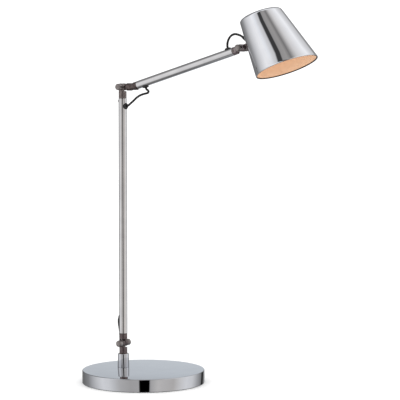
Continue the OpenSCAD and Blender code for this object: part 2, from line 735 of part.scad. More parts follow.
foot_pad();
base_plate();
plate_screws();
base_weight();
base_cover();
cord_gland();
base_lead();
socket_sleeve();
socket_nut();
swivel_bush();
swivel_fitting();
swivel_clip();
lower_boot();
lower_hinge_screw();
lower_near_cap();
lower_far_cap();
lower_friction_washer();
lower_spring_washer();
lower_cable();
post_lower_fitting();
post_tube();
post_lower_grommet();
post_wire();
post_upper_grommet();
post_upper_fitting();
post_set_screws();
elbow_hinge_screw();
elbow_near_cap();
elbow_far_cap();
elbow_friction_washer();
elbow_spring_washer();
elbow_cable();
arm_lower_fitting();
arm_tube();
arm_lower_grommet();
arm_wire();
arm_upper_grommet();
arm_upper_fitting();
arm_set_screws();
head_hinge_screw();
head_near_cap();
head_far_cap();
head_friction_washer();
head_spring_washer();
head_cable();
head_bracket();
bracket_screws();
clamp_plate();
head_strain_relief();
shade();
shade_liner();
holder_plate();
lamp_holder();
holder_screws();
bulb_base();
bulb_pins();
bulb_glass();
shade_wire();
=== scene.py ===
"""Swing arm desk lamp: the looks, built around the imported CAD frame.

The lamp is a weighted chrome base, a swivelling socket, two plated tubes between three dark friction hinges,
a chrome conical shade with an ivory enamelled reflector and a lit bi-pin lamp, and one black cable that
shows where it jumps across each hinge. Everything is in metres, in the row's frame: +Z up, +X along the arm.
"""

import json
import logging
import math
from collections.abc import Sequence
from dataclasses import dataclass, field
from enum import Enum

import bmesh
import bpy
from bmesh.types import BMEdge, BMesh, BMVert
from bpy.types import Material, Node, NodeSocket, NodeTree, Object
from mathutils import Matrix, Vector


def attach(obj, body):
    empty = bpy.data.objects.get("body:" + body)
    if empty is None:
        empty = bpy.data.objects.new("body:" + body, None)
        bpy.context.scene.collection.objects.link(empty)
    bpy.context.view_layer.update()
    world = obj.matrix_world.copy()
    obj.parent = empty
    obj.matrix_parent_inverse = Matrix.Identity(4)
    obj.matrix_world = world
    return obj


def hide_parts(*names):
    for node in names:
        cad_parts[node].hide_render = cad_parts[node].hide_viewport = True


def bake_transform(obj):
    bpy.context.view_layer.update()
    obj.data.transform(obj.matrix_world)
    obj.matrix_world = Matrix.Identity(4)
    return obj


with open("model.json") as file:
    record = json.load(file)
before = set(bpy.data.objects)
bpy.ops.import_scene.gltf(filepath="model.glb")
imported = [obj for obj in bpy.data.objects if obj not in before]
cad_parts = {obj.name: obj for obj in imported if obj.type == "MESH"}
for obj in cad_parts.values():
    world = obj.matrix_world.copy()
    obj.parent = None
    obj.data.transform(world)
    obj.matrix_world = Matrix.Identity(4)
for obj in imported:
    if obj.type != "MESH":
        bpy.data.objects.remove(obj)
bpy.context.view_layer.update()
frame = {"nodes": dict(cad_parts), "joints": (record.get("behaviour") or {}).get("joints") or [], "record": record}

LOG = logging.getLogger("desk_lamp")
MM = 0.001
SMOOTH_BELOW = math.radians(34)
FULL_TURN = 2 * math.pi
SAME_POINT = 1e-7

Point = tuple[float, float]
Span = tuple[float, float]
Colour = tuple[float, float, float, float]


class Body(Enum):
    """The rigid bodies of the lamp, from the table up."""

    BASE = "base"
    SWIVEL = "swivel"
    POST = "post"
    ARM = "arm"
    HEAD = "head"


class Slot(Enum):
    """The record's material slots."""

    CHROME = "polished_chrome"
    TUBE = "polished_tube"
    GUNMETAL = "gunmetal"
    RUBBER = "black_rubber"
    CABLE = "cable_jacket"
    IRON = "cast_iron"
    STEEL = "zinc_steel"
    BRASS = "brass"
    FRICTION = "friction_disc"
    ENAMEL = "white_enamel"
    CERAMIC = "white_ceramic"
    BULB = "bulb_glass"


# ---------------------------------------------------------------- small helpers


def linear(hex_colour: str) -> Colour:
    """Turn an sRGB hex colour into the linear colour that a shader socket takes.

    Args:
        hex_colour: six hex digits, such as "c8c9cc".

    Returns:
        Red, green, blue and an alpha of 1.
    """
    parts = [int(hex_colour[i : i + 2], 16) / 255 for i in (0, 2, 4)]
    toe = 0.04045
    return (*[c / 12.92 if c <= toe else ((c + 0.055) / 1.055) ** 2.4 for c in parts], 1.0)


def add_node(tree: NodeTree, kind: str, settings: dict | None = None,
             stops: Sequence[tuple[float, Colour]] = (), **inputs: object) -> Node:
    """Add a node with its settings, socket values and links.

    Args:
        tree: the node tree that gets it.
        kind: the node's Blender type name.
        settings: the node's own properties, by name.
        stops: for a colour ramp, its stops as (place from 0 to 1, linear colour).
        inputs: a value or an output socket for each input, by the input's name with _ for a space, or i0, i1
            for an input that is found by its place.

    Returns:
        The new node.
    """
    node = tree.nodes.new(kind)
    for name, value in (settings or {}).items():
        setattr(node, name, value)
    elements = node.color_ramp.elements if stops else []
    while len(elements) < len(stops):
        elements.new(0.5)
    for element, (place, colour) in zip(elements, stops):
        element.position = place
        element.color = colour
    for name, value in inputs.items():
        by_place = name[0] == "i" and name[1:].isdigit()
        socket = node.inputs[int(name[1:])] if by_place else node.inputs[name.replace("_", " ")]
        if isinstance(value, NodeSocket):
            tree.links.new(value, socket)
        else:
            socket.default_value = value
    return node


def new_piece(name: str, shape: BMesh, body: Body, finish: "Finish") -> Object:
    """Make a finished piece out of a bmesh, and let it ride on its body.

    Args:
        name: the piece's name.
        shape: the shape in the row's frame. It is freed.
        body: the body it moves with.
        finish: the material it wears.

    Returns:
        The piece.
    """
    piece = loose_piece(name, shape, finish)
    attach(piece, body.value)
    return piece


def loose_piece(name: str, shape: BMesh, finish: "Finish") -> Object:
    """Make a piece that rides on nothing yet. Args and Returns are as for new_piece."""
    mesh = bpy.data.meshes.new(name)
    shape.to_mesh(mesh)
    shape.free()
    mesh.shade_smooth()
    mesh.set_sharp_from_angle(angle=SMOOTH_BELOW)
    mesh.materials.append(finish.material())
    piece = bpy.data.objects.new(name, mesh)
    bpy.context.scene.collection.objects.link(piece)
    LOG.info("%s: %d faces", name, len(mesh.polygons))
    return piece


def outline(*stretches: Sequence[Point]) -> list[Point]:
    """Join stretches of an outline, in (radius, height), into one list of points."""
    return [point for stretch in stretches for point in stretch]


def arc(centre: Point, radius: float, start: float, end: float, steps: int = 5) -> list[Point]:
    """Points along an arc in the (radius, height) plane.

    Args:
        centre: the arc's centre.
        radius: its radius.
        start: the first angle in degrees, from the outward direction.
        end: the last angle in degrees.
        steps: how many chords it has.

    Returns:
        The points, both ends included.
    """
    angles = [math.radians(start + (end - start) * i / steps) for i in range(steps + 1)]
    return [(centre[0] + radius * math.cos(a), centre[1] + radius * math.sin(a)) for a in angles]


def turned(points: Sequence[Point], segments: int, closed: bool = True) -> BMesh:
    """Spin an outline about +Z, as on a lathe.

    Args:
        points: the outline in (radius, height), in metres.
        segments: how many steps make the full turn.
        closed: whether the last point joins the first, as on a ring.

    Returns:
        The turned shape, its faces pointing outwards.
    """
    shape = bmesh.new()
    verts = [shape.verts.new((radius, 0, height)) for radius, height in points]
    pairs = list(zip(verts, verts[1:])) + ([(verts[-1], verts[0])] if closed else [])
    edges = [shape.edges.new(pair) for pair in pairs]
    bmesh.ops.spin(
        shape, geom=verts + edges, cent=(0, 0, 0), axis=(0, 0, 1), angle=FULL_TURN, steps=segments,
        use_merge=True,
    )
    bmesh.ops.remove_doubles(shape, verts=shape.verts, dist=SAME_POINT)
    bmesh.ops.recalc_face_normals(shape, faces=shape.faces)
    return shape


def placed(shape: BMesh, place: Matrix) -> BMesh:
    """Move a shape to its place, and return it."""
    bmesh.ops.transform(shape, matrix=place, verts=shape.verts)
    return shape


def joined(*shapes: BMesh) -> BMesh:
    """Put several shapes into one bmesh, and free them."""
    whole = bmesh.new()
    for shape in shapes:
        part = bpy.data.meshes.new("part")
        shape.to_mesh(part)
        shape.free()
        whole.from_mesh(part)
        bpy.data.meshes.remove(part)
    return whole


def frame_of(origin: Vector, z_axis: Vector, x_axis: Vector) -> Matrix:
    """The matrix that puts a shape's own origin and axes at a place in the row's frame.

    Args:
        origin: where the shape's origin goes.
        z_axis: where its +Z points.
        x_axis: where its +X points, square to z_axis.

    Returns:
        The 4 by 4 matrix.
    """
    z = z_axis.normalized()
    x = x_axis.normalized()
    turn = Matrix((x, z.cross(x), z)).transposed()
    return Matrix.Translation(origin) @ turn.to_4x4()


# ---------------------------------------------------------------- finishes


@dataclass(frozen=True)
class Grain:
    """A noise pattern on Object coordinates, given by its real size.

    Attributes:
        size_mm: the size of a blob, in millimetres.
        detail: how many finer octaves it has.
        stretch: how many times longer a blob is along X, Y and Z.
        turn: the turn of the stretched pattern about X, Y and Z, in radians.
    """

    size_mm: float
    detail: float = 2.0
    stretch: tuple[float, float, float] = (1, 1, 1)
    turn: tuple[float, float, float] = (0, 0, 0)

    def value(self, tree: NodeTree) -> NodeSocket:
        """Add the pattern to a node tree, and return its value, which stays mostly inside NOISE_SPAN."""
        place = add_node(tree, "ShaderNodeTexCoord").outputs["Object"]
        turned_place = add_node(tree, "ShaderNodeMapping", Vector=place, Rotation=self.turn).outputs[0]
        scale = tuple(1 / s for s in self.stretch)
        scaled = add_node(tree, "ShaderNodeMapping", Vector=turned_place, Scale=scale).outputs[0]
        density = 1 / (self.size_mm * MM)
        noise = add_node(tree, "ShaderNodeTexNoise", Vector=scaled, Scale=density, Detail=self.detail)
        return noise.outputs["Fac"]


NOISE_SPAN = (0.3, 0.7)


@dataclass(frozen=True)
class Finish:
    """A procedural material with a drifting tone, an uneven gloss and a fine relief. Its pieces share it.

    Attributes:
        name: the material's name.
        dark: the darker end of its tone, as sRGB hex.
        light: the lighter end of its tone.
        drift: the pattern that the tone follows.
        rough: the lowest and the highest roughness. Two equal values make it even.
        gloss: the pattern that the roughness follows, where it isn't the tone's.
        relief: the pattern of the surface's height, where it isn't the tone's.
        relief_mm: how deep the relief is, in millimetres. A surface of 0 is smooth.
        metallic: 1 for bare metal and plate, less for scale and sheen over it.
        ior: the index of refraction. A metal keeps the default.
    """

    name: str
    dark: str = "7f7f7f"
    light: str = "8f8f8f"
    drift: Grain = Grain(5)
    rough: Span = (0.5, 0.5)
    gloss: Grain | None = None
    relief: Grain | None = None
    relief_mm: float = 0.0
    metallic: float = 0.0
    ior: float = 1.5

    def material(self) -> Material:
        """The Blender material, made on first use."""
        found = bpy.data.materials.get(self.name)
        if found:
            return found
        made = bpy.data.materials.new(self.name)
        made.use_nodes = True
        made.node_tree.nodes.clear()
        shader = self.shade(made.node_tree)
        add_node(made.node_tree, "ShaderNodeOutputMaterial", Surface=shader.outputs[0])
        return made

    def shade(self, tree: NodeTree) -> Node:
        """Build the nodes, each pattern once, and return the shader."""
        grains = [self.drift, self.gloss or self.drift, self.relief or self.drift]
        values = {grain: grain.value(tree) for grain in dict.fromkeys(grains)}
        tone, gloss, height = (values[grain] for grain in grains)
        even = self.rough[0] == self.rough[1]
        inputs = {
            "Base_Color": self.tint(tree, tone, self.dark, self.light),
            "Metallic": self.metallic,
            "Roughness": self.rough[0] if even else self.spread(tree, gloss, *self.rough),
            "IOR": self.ior,
            **self.extras(tree, tone),
        }
        if self.relief_mm:
            bump = add_node(tree, "ShaderNodeBump", Height=height, Distance=self.relief_mm * MM)
            inputs["Normal"] = bump.outputs["Normal"]
        return add_node(tree, "ShaderNodeBsdfPrincipled", **inputs)

    def extras(self, tree: NodeTree, tone: NodeSocket) -> dict[str, object]:
        """The shader inputs that only this finish has, by name. tone is the value of the drift pattern."""
        return {}

    @staticmethod
    def spread(tree: NodeTree, value: NodeSocket, low: float, high: float) -> NodeSocket:
        """Map a pattern's value onto low to high."""
        start, end = NOISE_SPAN
        span = add_node(
            tree, "ShaderNodeMapRange", Value=value, From_Min=start, From_Max=end, To_Min=low, To_Max=high
        )
        return span.outputs["Result"]

    @staticmethod
    def tint(tree: NodeTree, value: NodeSocket, dark: str, light: str) -> NodeSocket:
        """Colour between two hex colours, following a pattern's value."""
        stops = list(zip(NOISE_SPAN, (linear(dark), linear(light))))
        return add_node(tree, "ShaderNodeValToRGB", stops=stops, Fac=value).outputs["Color"]


@dataclass(frozen=True)
class ChromePlate(Finish):
    """Bright chrome over polished steel: a cool mirror, with wipe marks' haze and a spun skin's ripple."""

    dark: str = "cdcfd5"
    light: str = "d3d5da"
    drift: Grain = Grain(22, detail=3)
    rough: Span = (0.008, 0.03)
    relief: Grain = Grain(6, detail=1)
    relief_mm: float = 0.0004
    metallic: float = 1.0


@dataclass(frozen=True)
class DrawnTubePlate(Finish):
    """Plated drawn steel tube: a mirror softened by faint lines that the die leaves along the tube.

    The die lines are finer on the real tube, and are drawn half a millimetre wide so that they show.
    """

    dark: str = "d6d5d7"
    light: str = "e2e1e2"
    drift: Grain = Grain(18, detail=3)
    rough: Span = (0.035, 0.08)
    relief_mm: float = 0.0012
    metallic: float = 1.0


@dataclass(frozen=True)
class GunmetalPlate(Finish):
    """Black-nickel plated zinc casting: dark warm grey, satin, worn brighter on its edges.

    Attributes:
        worn: the colour of a rubbed edge.
        edge_mm: how far from an edge the wear reaches, in millimetres.
        edge_likeness: how alike the rounded and the flat normal are where wear begins, and where it is full.
        most_worn: how much of the plate is gone at the most.
        least_patchy: the share of the wear that is left in the clouds' darkest patches.
    """

    dark: str = "6d6463"
    light: str = "8b8280"
    drift: Grain = Grain(5, detail=2)
    rough: Span = (0.24, 0.36)
    relief: Grain = Grain(0.7, detail=3)
    relief_mm: float = 0.012
    metallic: float = 0.86
    worn: str = "b9b3ae"
    edge_mm: float = 0.45
    edge_likeness: Span = (0.995, 0.86)
    most_worn: float = 0.75
    least_patchy: float = 0.35

    def shade(self, tree: NodeTree) -> Node:
        """A satin metal with fine casting grain, and edges rubbed back towards bare plate."""
        grain, clouds = self.relief.value(tree), self.drift.value(tree)
        rounded = add_node(tree, "ShaderNodeBevel", {"samples": 6}, Radius=self.edge_mm * MM).outputs[0]
        flat = add_node(tree, "ShaderNodeNewGeometry").outputs["Normal"]
        alike = add_node(tree, "ShaderNodeVectorMath", {"operation": "DOT_PRODUCT"}, i0=rounded, i1=flat)
        begins, full = self.edge_likeness
        edge = add_node(
            tree, "ShaderNodeMapRange", Value=alike.outputs["Value"], From_Min=begins, From_Max=full,
            To_Min=0.0, To_Max=self.most_worn,
        )
        patches = self.spread(tree, clouds, self.least_patchy, 1.0)
        rubbed = add_node(
            tree, "ShaderNodeMath", {"operation": "MULTIPLY"}, i0=edge.outputs["Result"], i1=patches
        )
        plate = self.tint(tree, clouds, self.dark, self.light)
        colour = add_node(
            tree, "ShaderNodeMix", {"data_type": "RGBA"}, i0=rubbed.outputs[0], i6=plate, i7=linear(self.worn)
        )
        depth = self.relief_mm * MM
        bump = add_node(tree, "ShaderNodeBump", Height=grain, Distance=depth, Normal=rounded)
        return add_node(
            tree,
            "ShaderNodeBsdfPrincipled",
            Base_Color=colour.outputs["Result"],
            Metallic=self.metallic,
            Roughness=self.spread(tree, grain, *self.rough),
            Normal=bump.outputs["Normal"],
        )


@dataclass(frozen=True)
class MouldedRubber(Finish):
    """Moulded EPDM rubber: near black, matt, with the grain of an eroded mould and a trace of dust."""

    dark: str = "1b1b1c"
    light: str = "262626"
    drift: Grain = Grain(4, detail=3)
    rough: Span = (0.5, 0.68)
    relief: Grain = Grain(0.35)
    relief_mm: float = 0.02
    ior: float = 1.52


@dataclass(frozen=True)
class CableJacket(Finish):
    """Extruded PVC cable jacket: black, with faint draw marks and a soft sheen that breaks up along it."""

    dark: str = "0c0c0d"
    light: str = "151516"
    drift: Grain = Grain(1.6, detail=3)
    rough: Span = (0.4, 0.56)
    relief_mm: float = 0.01
    ior: float = 1.53


@dataclass(frozen=True)
class CastIron(Finish):
    """Sand-cast iron: dark grey, dull and rough, with the bumps of the sand."""

    dark: str = "2b2b2d"
    light: str = "454548"
    drift: Grain = Grain(1.2, detail=4)
    rough: Span = (0.6, 0.85)
    relief_mm: float = 0.15
    metallic: float = 0.7


@dataclass(frozen=True)
class ZincPlate(Finish):
    """Bright zinc plated steel: a satin grey metal with a cloudy, faintly blue passivation."""

    dark: str = "a9b0b8"
    light: str = "bfc0be"
    drift: Grain = Grain(3, detail=3)
    rough: Span = (0.24, 0.4)
    relief: Grain = Grain(0.4, detail=1)
    relief_mm: float = 0.004
    metallic: float = 1.0


@dataclass(frozen=True)
class TurnedBrass(Finish):
    """Turned brass bush: yellow metal with the rings that the tool leaves, dulled by grease."""

    dark: str = "a98546"
    light: str = "c9a55c"
    drift: Grain = Grain(4)
    rough: Span = (0.22, 0.4)
    relief: Grain = Grain(0.3, detail=1, stretch=(40, 40, 1))
    relief_mm: float = 0.006
    metallic: float = 1.0


@dataclass(frozen=True)
class FrictionDisc(Finish):
    """Pressed fibre friction disc: dark brown and matt, with short fibres showing."""

    dark: str = "221d19"
    light: str = "3a322b"
    drift: Grain = Grain(0.35, stretch=(5, 1, 1))
    rough: Span = (0.8, 0.8)
    relief_mm: float = 0.03


@dataclass(frozen=True)
class BakedEnamel(Finish):
    """Ivory baked enamel on the reflector: satin, with a fine orange peel, and a painted glow while the lamp is
    lit.

    The glow is painted light: it stands for the light that the white-hot lamp sends from wall to wall of the
    reflector. The tone is also warmed past ivory by the same painted lamplight.
    """

    dark: str = "c9ab8e"
    light: str = "d3b598"
    drift: Grain = Grain(14)
    rough: Span = (0.4, 0.5)
    relief: Grain = Grain(1.1)
    relief_mm: float = 0.008
    # Painted lamplight: the glow's colour and strength, standing for the lamp's light bouncing inside the
    # reflector.
    glow: str = "ffb987"
    painted_lamplight_strength: float = 0.17

    def extras(self, tree: NodeTree, tone: NodeSocket) -> dict[str, object]:
        """The even glow of painted lamplight."""
        return {"Emission_Color": linear(self.glow), "Emission_Strength": self.painted_lamplight_strength}


@dataclass(frozen=True)
class GlazedCeramic(Finish):
    """Glazed steatite lamp holder: off-white and glossy over a slightly mottled body."""

    dark: str = "dcd5c6"
    light: str = "ebe6da"
    drift: Grain = Grain(2.5, detail=3)
    rough: Span = (0.14, 0.26)
    relief_mm: float = 0.01

    def extras(self, tree: NodeTree, tone: NodeSocket) -> dict[str, object]:
        """The clear top of the glaze."""
        return {"Coat_Weight": 0.4, "Coat_Roughness": 0.08}


@dataclass(frozen=True)
class LitFrostedGlass(Finish):
    """Acid-frosted glass capsule with the lamp burning inside: a warm white, uneven as its frosting."""

    dark: str = "fff1dc"
    light: str = "fffaf0"
    drift: Grain = Grain(0.8)
    relief_mm: float = 0.01
    glow: tuple[str, str] = ("ffc890", "ffd6a8")
    strength: float = 1.3

    def extras(self, tree: NodeTree, tone: NodeSocket) -> dict[str, object]:
        """The lamp's light, which follows the frosting."""
        return {"Emission_Color": self.tint(tree, tone, *self.glow), "Emission_Strength": self.strength}


@dataclass(frozen=True)
class PaleFloor(Finish):
    """Matt white table top under the lamp, with barely visible unevenness."""

    dark: str = "fafafa"
    light: str = "fdfdfd"
    drift: Grain = Grain(300, detail=1)
    rough: Span = (0.9, 0.9)

    def extras(self, tree: NodeTree, tone: NodeSocket) -> dict[str, object]:
        """No shine."""
        return {"Specular_IOR_Level": 0.0}


ARM_RISE = math.radians(15.7)
POST_LINES = Grain(0.5, stretch=(1, 1, 90))
ARM_LINES = Grain(0.5, stretch=(1, 1, 90), turn=(0, ARM_RISE - math.pi / 2, 0))

CHROME = ChromePlate("chrome_plate")
SOCKET_CHROME = ChromePlate("socket_chrome_plate", rough=(0.02, 0.05))
# A lighter copy of the chrome for the shade: painted light, for the brighter reflections that the shade takes.
LIT_SHADE_CHROME = ChromePlate(
    "shade_chrome_painted_light", dark="e6e7ec", light="ebecf0", rough=(0.012, 0.04), relief_mm=0.0003
)
POST_PLATE = DrawnTubePlate("drawn_tube_plate_post", gloss=POST_LINES, relief=POST_LINES)
ARM_PLATE = DrawnTubePlate("drawn_tube_plate_arm", gloss=ARM_LINES, relief=ARM_LINES)
# Lit and shaded copies of the one black nickel plate: the caps and the arm's upper collar are toned lighter as
# painted light, the crank and the lower fittings darker as painted shade.
SHADED_CRANK_PLATE = GunmetalPlate("crank_plate_painted_shade", dark="504645", light="6f6463")
LIT_CAP_PLATE = GunmetalPlate("cap_plate_painted_light", dark="7b7473", light="97918f")
LIT_COLLAR_PLATE = GunmetalPlate("collar_plate_painted_light", dark="807376", light="9f9295")
SHADED_FOOT_PLATE = GunmetalPlate("foot_plate_painted_shade", dark="5b5051", light="766a6b")
# Painted shade: a dark finish for the ring inside the shade's rim.
RIM_PAINTED_SHADE = GunmetalPlate("rim_painted_shade_plate", dark="3a302d", light="4c403c", worn="6b5f59")
RUBBER = MouldedRubber("moulded_rubber")
JACKET = CableJacket("pvc_jacket")
# The reflector's enamel, toned and lit with painted lamplight.
ENAMEL = BakedEnamel("baked_enamel_painted_lamplight")
LIT_GLASS = LitFrostedGlass("lit_frosted_glass")

SLOT_FINISHES: dict[Slot, Finish] = {
    Slot.CHROME: CHROME,
    Slot.TUBE: POST_PLATE,
    Slot.GUNMETAL: GunmetalPlate("black_nickel_plate"),
    Slot.RUBBER: RUBBER,
    Slot.CABLE: JACKET,
    Slot.IRON: CastIron("cast_iron"),
    Slot.STEEL: ZincPlate("zinc_plate"),
    Slot.BRASS: TurnedBrass("turned_brass"),
    Slot.FRICTION: FrictionDisc("friction_fibre"),
    Slot.ENAMEL: ENAMEL,
    Slot.CERAMIC: GlazedCeramic("glazed_ceramic"),
    Slot.BULB: LIT_GLASS,
}


# ---------------------------------------------------------------- camera and studio


@dataclass
class Studio:
    """The camera, the white table and the light tent around the lamp."""

    azimuth: float = math.radians(34.5)
    distance: float = 2.6195
    sideways: float = 0.08787
    height: float = 0.459
    pitch_down: float = math.radians(3.83)
    lens: float = 153.0
    sensor: float = 36.0
    sees_as_far_as: float = 20.0
    floor_size: float = 9.0
    tent_white: float = 1.25
    roof_white: float = 1.0
    under_white: float = 0.17
    raised_band: Span = (0.2, 0.48)
    roof_band: Span = (0.93, 0.99)
    under_band: Span = (-0.97, -0.52)

    def build(self) -> None:
        """Set up the camera, the floor and the light."""
        self.camera()
        self.floor()
        self.tent()
        view = bpy.context.scene.view_settings
        view.view_transform = "Standard"
        view.look = "None"

    def camera(self) -> None:
        """A long lens, a little above the arm, looking slightly down."""
        back = Vector((math.sin(self.azimuth), -math.cos(self.azimuth), 0))
        right = Vector((math.cos(self.azimuth), math.sin(self.azimuth), 0))
        data = bpy.data.cameras.new("camera")
        data.lens = self.lens
        data.sensor_width = self.sensor
        data.clip_end = self.sees_as_far_as
        camera = bpy.data.objects.new("camera", data)
        camera.location = back * self.distance + right * self.sideways + Vector((0, 0, self.height))
        camera.rotation_euler = (math.pi / 2 - self.pitch_down, 0, self.azimuth)
        bpy.context.scene.collection.objects.link(camera)
        bpy.context.scene.camera = camera

    def floor(self) -> None:
        """A white table top. Mirrors look through it, into the tent's own lower half."""
        shape = bmesh.new()
        bmesh.ops.create_grid(shape, x_segments=8, y_segments=8, size=self.floor_size / 2)
        mesh = bpy.data.meshes.new("floor")
        shape.to_mesh(mesh)
        shape.free()
        mesh.materials.append(PaleFloor("pale_floor").material())
        floor = bpy.data.objects.new("floor", mesh)
        floor.visible_glossy = False
        bpy.context.scene.collection.objects.link(floor)

    def tent(self) -> None:
        """A white light tent with soft boxes at both sides and a dark slit that the lens looks through."""
        world = bpy.data.worlds.new("light_tent")
        bpy.context.scene.world = world
        world.use_nodes = True
        tree = world.node_tree
        tree.nodes.clear()
        place = add_node(tree, "ShaderNodeTexCoord")
        turned_place = add_node(
            tree, "ShaderNodeMapping", Vector=place.outputs["Generated"], Rotation=(0, 0, -self.azimuth)
        )
        axes = add_node(tree, "ShaderNodeSeparateXYZ", Vector=turned_place.outputs[0])
        to_lens = add_node(tree, "ShaderNodeMath", {"operation": "MULTIPLY"}, i0=axes.outputs["Y"], i1=-1.0)
        bearing = add_node(
            tree, "ShaderNodeMath", {"operation": "ARCTAN2"}, i0=axes.outputs["X"], i1=to_lens.outputs[0]
        )
        around = add_node(
            tree, "ShaderNodeMapRange", Value=bearing.outputs[0], From_Min=-math.pi, From_Max=math.pi
        )
        level = self.wall(tree, around, TENT_LEVEL)
        raised = self.wall(tree, around, TENT_RAISED)
        walls = self.by_height(tree, axes, self.raised_band, level, raised)
        roofed = self.by_height(tree, axes, self.roof_band, walls, grey(self.roof_white))
        whole = self.by_height(tree, axes, self.under_band, grey(self.under_white), roofed)
        light = add_node(tree, "ShaderNodeLightPath")
        seen = add_node(
            tree, "ShaderNodeMix", {"data_type": "RGBA"}, i0=light.outputs["Is Glossy Ray"],
            i6=grey(self.tent_white), i7=whole,
        )
        background = add_node(tree, "ShaderNodeBackground", Color=seen.outputs["Result"])
        out = add_node(tree, "ShaderNodeOutputWorld")
        tree.links.new(background.outputs[0], out.inputs["Surface"])

    @staticmethod
    def wall(tree: NodeTree, around: Node,
             lights: Sequence[tuple[float, Colour]]) -> NodeSocket:
        """One ring of the tent's wall, from the bearings and brightnesses of its parts."""
        stops = [(0.5 + bearing / 360, colour) for bearing, colour in lights]
        lit = add_node(tree, "ShaderNodeValToRGB", stops=stops, Fac=around.outputs["Result"])
        return lit.outputs["Color"]

    @staticmethod
    def by_height(tree: NodeTree, axes: Node, band: Span, below: object,
                  above: object) -> NodeSocket:
        """Blend from one part of the tent to the one above it, over a band of sines of the elevation."""
        share = add_node(
            tree, "ShaderNodeMapRange", {"interpolation_type": "SMOOTHSTEP"}, Value=axes.outputs["Z"],
            From_Min=band[0], From_Max=band[1],
        )
        mix = add_node(
            tree, "ShaderNodeMix", {"data_type": "RGBA"}, i0=share.outputs["Result"], i6=below, i7=above
        )
        return mix.outputs["Result"]


def grey(value: float, warmth: float = 0.0) -> Colour:
    """A linear grey, tipped towards red by a positive warmth and towards blue by a negative one."""
    return (value * (1 + warmth), value, value * (1 - warmth), 1.0)


# The tent's wall: a ring at table level and a ring above it, as (bearing from the lens in degrees, light).
TENT_LEVEL = [
    (-180, grey(0.66, -0.06)), (-174, grey(0.62, -0.05)), (-168, grey(0.2)), (-149, grey(0.18)),
    (-124, grey(0.33)), (-106, grey(0.62)), (-92, grey(0.8)), (-80, grey(0.95)), (-66, grey(0.88)),
    (-55, grey(0.74)), (-44, grey(0.6, 0.02)), (-22, grey(0.5, 0.03)), (-6.5, grey(0.52, 0.03)),
    (-5.5, grey(0)), (13, grey(0)), (14, grey(0.44, 0.02)), (17, grey(0.54, 0.03)), (29, grey(0.68, 0.04)),
    (46, grey(0.64, 0.04)), (60, grey(0.6, 0.05)), (74, grey(0.8, 0.02)), (90, grey(0.94)), (106, grey(0.86)),
    (124, grey(0.5)),
    (140, grey(0.26)), (144, grey(0.02)), (152, grey(0.02)), (157, grey(0.3)), (170, grey(0.3)),
    (174, grey(0.62, -0.05)), (180, grey(0.66, -0.06)),
]
TENT_RAISED = [
    (-180, grey(0.27)), (-120, grey(0.24)), (-102, grey(0.34)), (-88, grey(0.66)), (-74, grey(1.08)),
    (-62, grey(0.92, -0.02)), (-54, grey(0.74)), (-46, grey(0.64)), (-42, grey(0.05)), (-29, grey(0.05)),
    (-26, grey(0.33, 0.03)), (-8, grey(0.36, 0.04)), (10, grey(0.21, 0.03)), (20, grey(0.34, 0.03)),
    (32, grey(0.52, 0.03)), (52, grey(0.72, 0.02)), (76, grey(0.83, 0.01)), (100, grey(0.96)),
    (112, grey(1.04)), (124, grey(0.86)), (134, grey(0.73)), (143, grey(0.67)), (160, grey(0.28)),
    (180, grey(0.27)),
]


# ---------------------------------------------------------------- the lamp's places


JOINT = {joint["name"]: Vector(joint["pos_m"]) for joint in frame["joints"]}
ALONG_HINGE = Vector((0, 1, 0))
UP = Vector((0, 0, 1))
SHADE_TILT = math.radians(21.6)
CRANK_LENGTH = 0.0165
# The lower cable and its grommet sit behind the post, turned this far from +X.
BEHIND = Matrix.Rotation(math.radians(160), 3, "Z")
ARM_WAY = Vector((math.cos(ARM_RISE), 0, math.sin(ARM_RISE)))
ARM_UNDER = Vector((math.sin(ARM_RISE), 0, -math.cos(ARM_RISE)))
SHADE_OUT = Vector((math.cos(SHADE_TILT), 0, math.sin(SHADE_TILT)))
SHADE_UP = Vector((-math.sin(SHADE_TILT), 0, math.cos(SHADE_TILT)))
ARM_DROP = 0.0008
ARM_FOOT = JOINT["elbow"] + Vector((CRANK_LENGTH, 0, 0)) + ARM_UNDER * ARM_DROP


def smooth_path(points: Sequence[Vector], per_stretch: int = 4) -> list[Vector]:
    """Points along the smooth curve that passes through all of the given ones.

    Args:
        points: the points to pass through.
        per_stretch: how many chords there are between two of them.

    Returns:
        The finer path, first and last points included.
    """
    ends = [2 * points[0] - points[1], *points, 2 * points[-1] - points[-2]]
    path = []
    for before, start, end, after in zip(ends, ends[1:], ends[2:], ends[3:]):
        for step in range(per_stretch):
            t = step / per_stretch
            path.append(
                0.5 * (2 * start + (end - before) * t + (2 * before - 5 * start + 4 * end - after) * t * t
                       + (3 * start - before - 3 * end + after) * t**3)
            )
    return [*path, points[-1]]


def tube_along(path: Sequence[Vector], radius: float, sides: int = 14) -> BMesh:
    """Draw a round tube along a path, one ring to a point, its ends closed.

    Args:
        path: the tube's centre line.
        radius: the tube's radius.
        sides: how many sides its section has.

    Returns:
        The tube.
    """
    ways = [(b - a).normalized() for a, b in zip(path, path[1:])]
    tangents = [ways[0], *[(a + b).normalized() for a, b in zip(ways, ways[1:])], ways[-1]]
    shape = bmesh.new()
    first = frame_of(path[0], tangents[0], tangents[0].cross(ALONG_HINGE))
    bmesh.ops.create_circle(shape, segments=sides, radius=radius, cap_ends=True, matrix=first)
    rim = shape.edges[:]
    for i in range(1, len(path)):
        out = bmesh.ops.extrude_edge_only(shape, edges=rim)["geom"]
        rim = [e for e in out if isinstance(e, BMEdge)]
        ring = [v for v in out if isinstance(v, BMVert)]
        turn = tangents[i - 1].rotation_difference(tangents[i]).to_matrix()
        for vert in ring:
            vert.co = path[i] + turn @ (vert.co - path[i - 1])
    bmesh.ops.contextual_create(shape, geom=rim)
    bmesh.ops.recalc_face_normals(shape, faces=shape.faces)
    return shape


